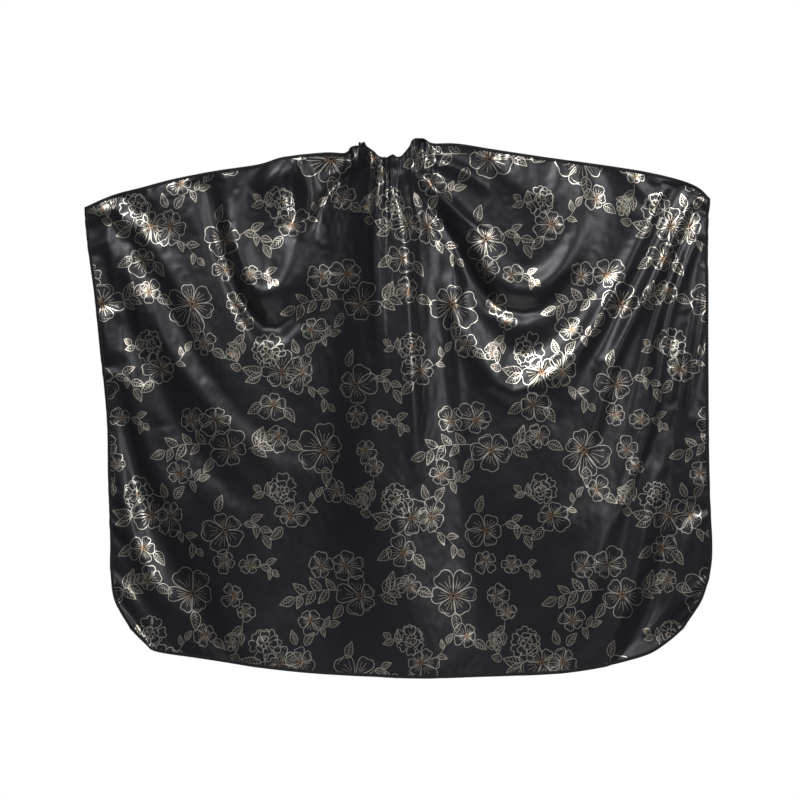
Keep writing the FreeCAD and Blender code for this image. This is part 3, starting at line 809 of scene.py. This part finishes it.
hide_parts("binding_front_left", "binding_hem", "binding_left_top",
            "binding_left_side")
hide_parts("binding_front_right", "binding_right_top", "binding_right_side")

for side in HALVES:
    edge = cut[:HALF_ACROSS] if side == "left" else cut[HALF_ACROSS - 1:]
    cell = edge[:-1, :-1] - edge[1:, 1:]
    other = edge[1:, :-1] - edge[:-1, 1:]
    area = 0.5 * np.abs(cell[..., 0] * other[..., 1] - cell[..., 1] * other[..., 0]).sum()

# ------------------------------------------------------------------ the neck band
# A folded tape of the same black polyester, sewn behind the gathered neckline with a woven elastic
# inside it, which ruches the tape. It ends at each side of the neck, where the tabs are sewn on.
BAND_HIGH, BAND_THICK = 0.0100, 0.0044
RUCHES, RUCHE_DEEP = 46, 0.0005     # ruches in a full turn round the neck, and their depth
BAND_STEPS, BAND_ROUND = 300, 20    # places along the band and round its section
GATHER_STITCH_PITCH, GATHER_STITCH = 0.0026, (0.0010, 0.00035, 0.0003)

band_satin = Finish("band_satin", Sheen_Weight=0.12, Sheen_Roughness=0.4, Specular_IOR_Level=0.5)
place = band_satin.node("ShaderNodeTexCoord", {}, {})[3]
run = split(band_satin, place)
weave = (run[0] + run[2]).wave(0.0008) * 0.5 + (run[1] - run[2]).wave(0.0008) * 0.5
mottle = band_satin.noise(place, 90.0, 3.0)
band_satin.surface(Base_Color=band_satin.mix(mottle, (0.008, 0.008, 0.012, 1), (0.020, 0.019, 0.027, 1)),
                   Roughness=mottle * 0.15 + 0.36,
                   Normal=band_satin.bump(weave, 0.0001, 0.4, band_satin.bump(mottle, 0.001, 0.3)))

turns = np.linspace(math.pi, 2 * math.pi, BAND_STEPS)
up = np.array([0, -math.sin(NECK_TILT), math.cos(NECK_TILT)])
outward = np.stack([np.cos(turns), np.sin(turns) * math.cos(NECK_TILT),
                    np.sin(turns) * math.sin(NECK_TILT)], axis=1)
rounds = np.linspace(0, 2 * math.pi, BAND_ROUND, endpoint=False)
high = np.sign(np.sin(rounds)) * np.abs(np.sin(rounds)) ** 0.45 * BAND_HIGH / 2
thick = np.sign(np.cos(rounds)) * np.abs(np.cos(rounds)) ** 0.45 * BAND_THICK / 2
phase = turns[:, None] * RUCHES
wander = 0.9 * np.sin(turns[:, None] * 9 + rounds) + 0.6 * np.sin(turns[:, None] * 23)
ruche = 1 + np.cos(phase + wander) * RUCHE_DEEP / (BAND_THICK / 2)
flare = 1 + 0.06 * np.cos(phase * 0.5 + 1.3)
band = (outward[:, None] * (NECK_RADIUS + thick * ruche)[..., None]
        + up * (high * flare)[..., None])
bm = grid_bmesh(np.concatenate([band, band[:, :1]], axis=1), closed=True)
bmesh.ops.holes_fill(bm, edges=bm.edges[:], sides=0)
bmesh.ops.recalc_face_normals(bm, faces=bm.faces)
neck_band = finished(bm, "neck_band", band_satin.material)
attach(neck_band, "root")
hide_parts("neck_tape")

woven = Finish("woven_elastic", Specular_IOR_Level=0.3)
place = woven.node("ShaderNodeTexCoord", {}, {})[3]
run = split(woven, place)
cords = run[2].wave(0.0012) * 0.6 + (run[0] + run[1]).wave(0.0009) * 0.4
woven.surface(Base_Color=woven.mix(cords, (0.012, 0.012, 0.014, 1), (0.035, 0.035, 0.04, 1)),
              Roughness=cords * 0.2 + 0.6, Normal=woven.bump(cords, 0.0003, 0.6))
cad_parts["neck_elastic"].material_slots[0].material = woven.material

# the seam that holds the gathers: a line of stitches through the cloth just under the band's top
gathered = [(i, 2) for i in range(columns) if abs(cloth[i, 0, 0]) < 0.098]
line = np.array([cloth[i, j] for i, j in gathered])
line = line + np.array([forward[i, j] for i, j in gathered]) * 0.0002
travel = travelled(line)
marks = np.arange(0.002, travel[-1], GATHER_STITCH_PITCH)
seam = [at_marks(marks, travel, part)
        for part in (line, np.gradient(line, axis=0), np.array([forward[i, j] for i, j in gathered]))]
bm = bmesh.new()
stitched(bm, *seam, GATHER_STITCH)
gather_stitches = finished(bm, "neckline_stitches", thread.material)
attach(gather_stitches, "root")

# ------------------------------------------------------------------ the two tabs
# Each end of the neck band carries a tab: two layers of the black satin over a stiff nonwoven
# interlining, turned, pressed and topstitched round their edge. They close behind the neck.
TAB_ROUND, TAB_EDGE = 0.0095, 0.0005
TOPSTITCH_IN, TOPSTITCH_WIDE, TOPSTITCH_DEEP = 0.0020, 0.0009, 0.00018
TAB_STITCH_PITCH, TAB_STITCH = 0.0027, (0.0010, 0.00033, 0.00026)

nonwoven = Finish("nonwoven_lining", Specular_IOR_Level=0.2)
place = nonwoven.node("ShaderNodeTexCoord", {}, {})[3]
fibres = nonwoven.noise(place, 700.0, 4.0, 0.7)
nonwoven.surface(Base_Color=nonwoven.mix(fibres, (0.62, 0.61, 0.58, 1), (0.80, 0.79, 0.76, 1)),
                 Roughness=fibres * 0.1 + 0.8, Normal=nonwoven.bump(fibres, 0.0003, 0.5))


def tab(side):
    """A turned and topstitched tab, with the ends of its layers at the frame's places."""
    boxes = [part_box(f"{side}_tab_{layer}") for layer in ("lining", "interlining", "outer")]
    low = Vector([min(box[0][axis] for box in boxes) for axis in range(3)])
    high = Vector([max(box[1][axis] for box in boxes) for axis in range(3)])
    bm = bmesh.new()
    bmesh.ops.create_cube(bm, size=1, matrix=Matrix.Translation((low + high) / 2)
                          @ Matrix.Diagonal((*(high - low), 1)))
    ends = [edge for edge in bm.edges if all(v.co.y > high.y - 1e-6 for v in edge.verts)
            and abs(edge.verts[0].co.x - edge.verts[1].co.x) > 1e-6]
    bmesh.ops.bevel(bm, geom=ends, offset=TAB_ROUND, segments=10, profile=0.5, affect="EDGES",
                    material=-1)
    rims = [edge for edge in bm.edges if abs(edge.verts[0].co.x - edge.verts[1].co.x) < 1e-6]
    bmesh.ops.bevel(bm, geom=rims, offset=TAB_EDGE, segments=3, profile=0.5, affect="EDGES",
                    material=-1)
    bm.normal_update()
    faces = sorted(bm.faces, key=lambda face: -face.calc_area())[:2]
    outlines = []
    for face in faces:
        wide = [face]
        bmesh.ops.inset_region(bm, faces=wide, thickness=TOPSTITCH_IN - TOPSTITCH_WIDE,
                               use_even_offset=True)
        bmesh.ops.inset_region(bm, faces=wide, thickness=TOPSTITCH_WIDE, depth=-TOPSTITCH_DEEP,
                               use_even_offset=True)
        outlines.append(([v.co.copy() for v in face.verts], face.normal.copy()))
        bmesh.ops.inset_region(bm, faces=wide, thickness=TOPSTITCH_WIDE, depth=TOPSTITCH_DEEP,
                               use_even_offset=True)
    bmesh.ops.recalc_face_normals(bm, faces=bm.faces)
    cover = finished(bm, side + "_tab_cover", band_satin.material, smooth=False)
    cover.data.shade_smooth()
    keep = cover.modifiers.new("even_shading", "WEIGHTED_NORMAL")
    keep.keep_sharp = True
    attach(cover, side + "_tab")
    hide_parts(side + "_tab_lining", side + "_tab_outer")
    bm = bmesh.new()
    for points, normal in outlines:
        line = np.array([*points, points[0]])
        travel = travelled(line)
        marks = np.arange(0.001, travel[-1], TAB_STITCH_PITCH)
        at, ahead = at_marks(marks, travel, line), at_marks(marks + 0.0005, travel, line)
        stitched(bm, at, ahead - at, [normal] * len(at), TAB_STITCH)
    stitches = finished(bm, side + "_tab_stitches", thread.material)
    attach(stitches, side + "_tab")
    # the fold between the band's end and the tab
    end = Vector((HALVES[side] * NECK_RADIUS, 0.002, 0))
    bm = bmesh.new()
    bmesh.ops.create_grid(bm, x_segments=8, y_segments=12, size=0.5)
    for vertex in bm.verts:
        share, height = vertex.co.x + 0.5, vertex.co.y
        near = Vector((end.x, -0.005, height * BAND_HIGH - 0.005))
        far = Vector(((low.x + high.x) / 2, low.y + 0.004, (low.z + high.z) / 2 + height * (high.z - low.z)
                      * 0.97))
        vertex.co = near.lerp(far, share * share * (3 - 2 * share))
        vertex.co.x += 0.0003 * math.sin(height * 38) * math.sin(math.pi * share)
    half_thick = (high.x - low.x) / 2 + 0.0003
    made = bmesh.ops.extrude_face_region(bm, geom=bm.faces[:], use_keep_orig=True)["geom"]
    lifted = {part for part in made if isinstance(part, bmesh.types.BMVert)}
    for vertex in bm.verts:
        vertex.co.x += half_thick if vertex in lifted else -half_thick
    bmesh.ops.recalc_face_normals(bm, faces=bm.faces)
    fold = finished(bm, side + "_tab_fold", band_satin.material)
    side + "_tab"
    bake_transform(fold)
    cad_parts[side + "_tab_interlining"].material_slots[0].material = nonwoven.material


for side in HALVES:
    tab(side)

# ------------------------------------------------------------------ the press studs
# Pressed and nickel-plated brass: three sockets in one tab, so that it fits three neck sizes, and
# one stud in the other. Each is clinched through the cloth to a cap on the other face.
nickel = Finish("nickel_plate", Metallic=1.0)
place = nickel.node("ShaderNodeTexCoord", {}, {})[3]
scuffs = nickel.noise(place, 900.0, 4.0, 0.6)
nickel.surface(Base_Color=nickel.mix(scuffs, (0.74, 0.73, 0.70, 1), (0.90, 0.89, 0.86, 1)),
               Roughness=scuffs * 0.16 + 0.16, Normal=nickel.bump(scuffs, 0.00004, 0.1))
for name in ("press_sockets", "socket_caps", "press_stud", "stud_cap"):
    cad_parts[name].material_slots[0].material = nickel.material

# ------------------------------------------------------------------ the room
# A plain painted floor below the hanging cape, in a white room that is seen but gives little light,
# and three soft studio lamps: one in front, one to the side and one behind.
FLOOR_DROP, FLOOR_RADIUS = 1.62, 0.85
VIEW_FROM, VIEW_WIDE, SENSOR = (0.022, -6.0, -0.572), 1.786, 36
painted = Finish("painted_floor", Emission_Color=(1, 1, 1, 1), Emission_Strength=0.42)
place = painted.node("ShaderNodeTexCoord", {}, {})[3]
grain = painted.noise(place, 14.0, 4.0)
painted.surface(Base_Color=painted.mix(grain, (0.76, 0.76, 0.75, 1), (0.82, 0.82, 0.81, 1)),
                Roughness=grain * 0.1 + 0.6)
bm = bmesh.new()
bmesh.ops.create_circle(bm, cap_ends=True, segments=96, radius=FLOOR_RADIUS,
                        matrix=Matrix.Translation((0, 0, -FLOOR_DROP)))
floor = finished(bm, "floor", painted.material, smooth=False)

world = bpy.data.worlds.new("white_room")
bpy.context.scene.world = world
world.use_nodes = True
nodes, links = world.node_tree.nodes, world.node_tree.links
seen_white = nodes["Background"]
seen_white.inputs["Color"].default_value = (1, 1, 1, 1)
seen_white.inputs["Strength"].default_value = 1.0
light = nodes.new("ShaderNodeBackground")
light.inputs["Color"].default_value = (0.94, 0.95, 1, 1)
light.inputs["Strength"].default_value = 0.074
seen = nodes.new("ShaderNodeLightPath")
choice = nodes.new("ShaderNodeMixShader")
links.new(seen.outputs["Is Camera Ray"], choice.inputs[0])
links.new(light.outputs[0], choice.inputs[1])
links.new(seen_white.outputs[0], choice.inputs[2])
links.new(choice.outputs[0], nodes["World Output"].inputs["Surface"])


def lamp(name, place, aim, size, power):
    """A soft rectangular studio lamp that faces a place."""
    data = bpy.data.lights.new(name, "AREA")
    data.shape, data.size, data.size_y = "RECTANGLE", *size
    data.energy, data.color = power, (0.98, 0.98, 1.0)
    holder = bpy.data.objects.new(name, data)
    holder.location = place
    holder.rotation_euler = (Vector(aim) - Vector(place)).to_track_quat("-Z", "Y").to_euler()
    bpy.context.collection.objects.link(holder)


lamp("key_lamp", (-0.6, -2.6, 1.6), (0, 0, -0.45), (1.2, 0.8), 56)
lamp("side_lamp", (2.3, -2.2, 0.5), (0.1, 0, -0.5), (0.6, 1.5), 30)
lamp("back_lamp", (0.4, 2.8, 1.2), (0, 0, -0.5), (1.6, 1.2), 55)

camera_data = bpy.data.cameras.new("camera")
camera_data.sensor_width = SENSOR
camera_data.lens = SENSOR * -VIEW_FROM[1] / VIEW_WIDE
camera = bpy.data.objects.new("camera", camera_data)
camera.location = VIEW_FROM
camera.rotation_euler = (math.pi / 2, 0, 0)
bpy.context.collection.objects.link(camera)
bpy.context.scene.camera = camera
bpy.context.scene.view_settings.view_transform = "Standard"
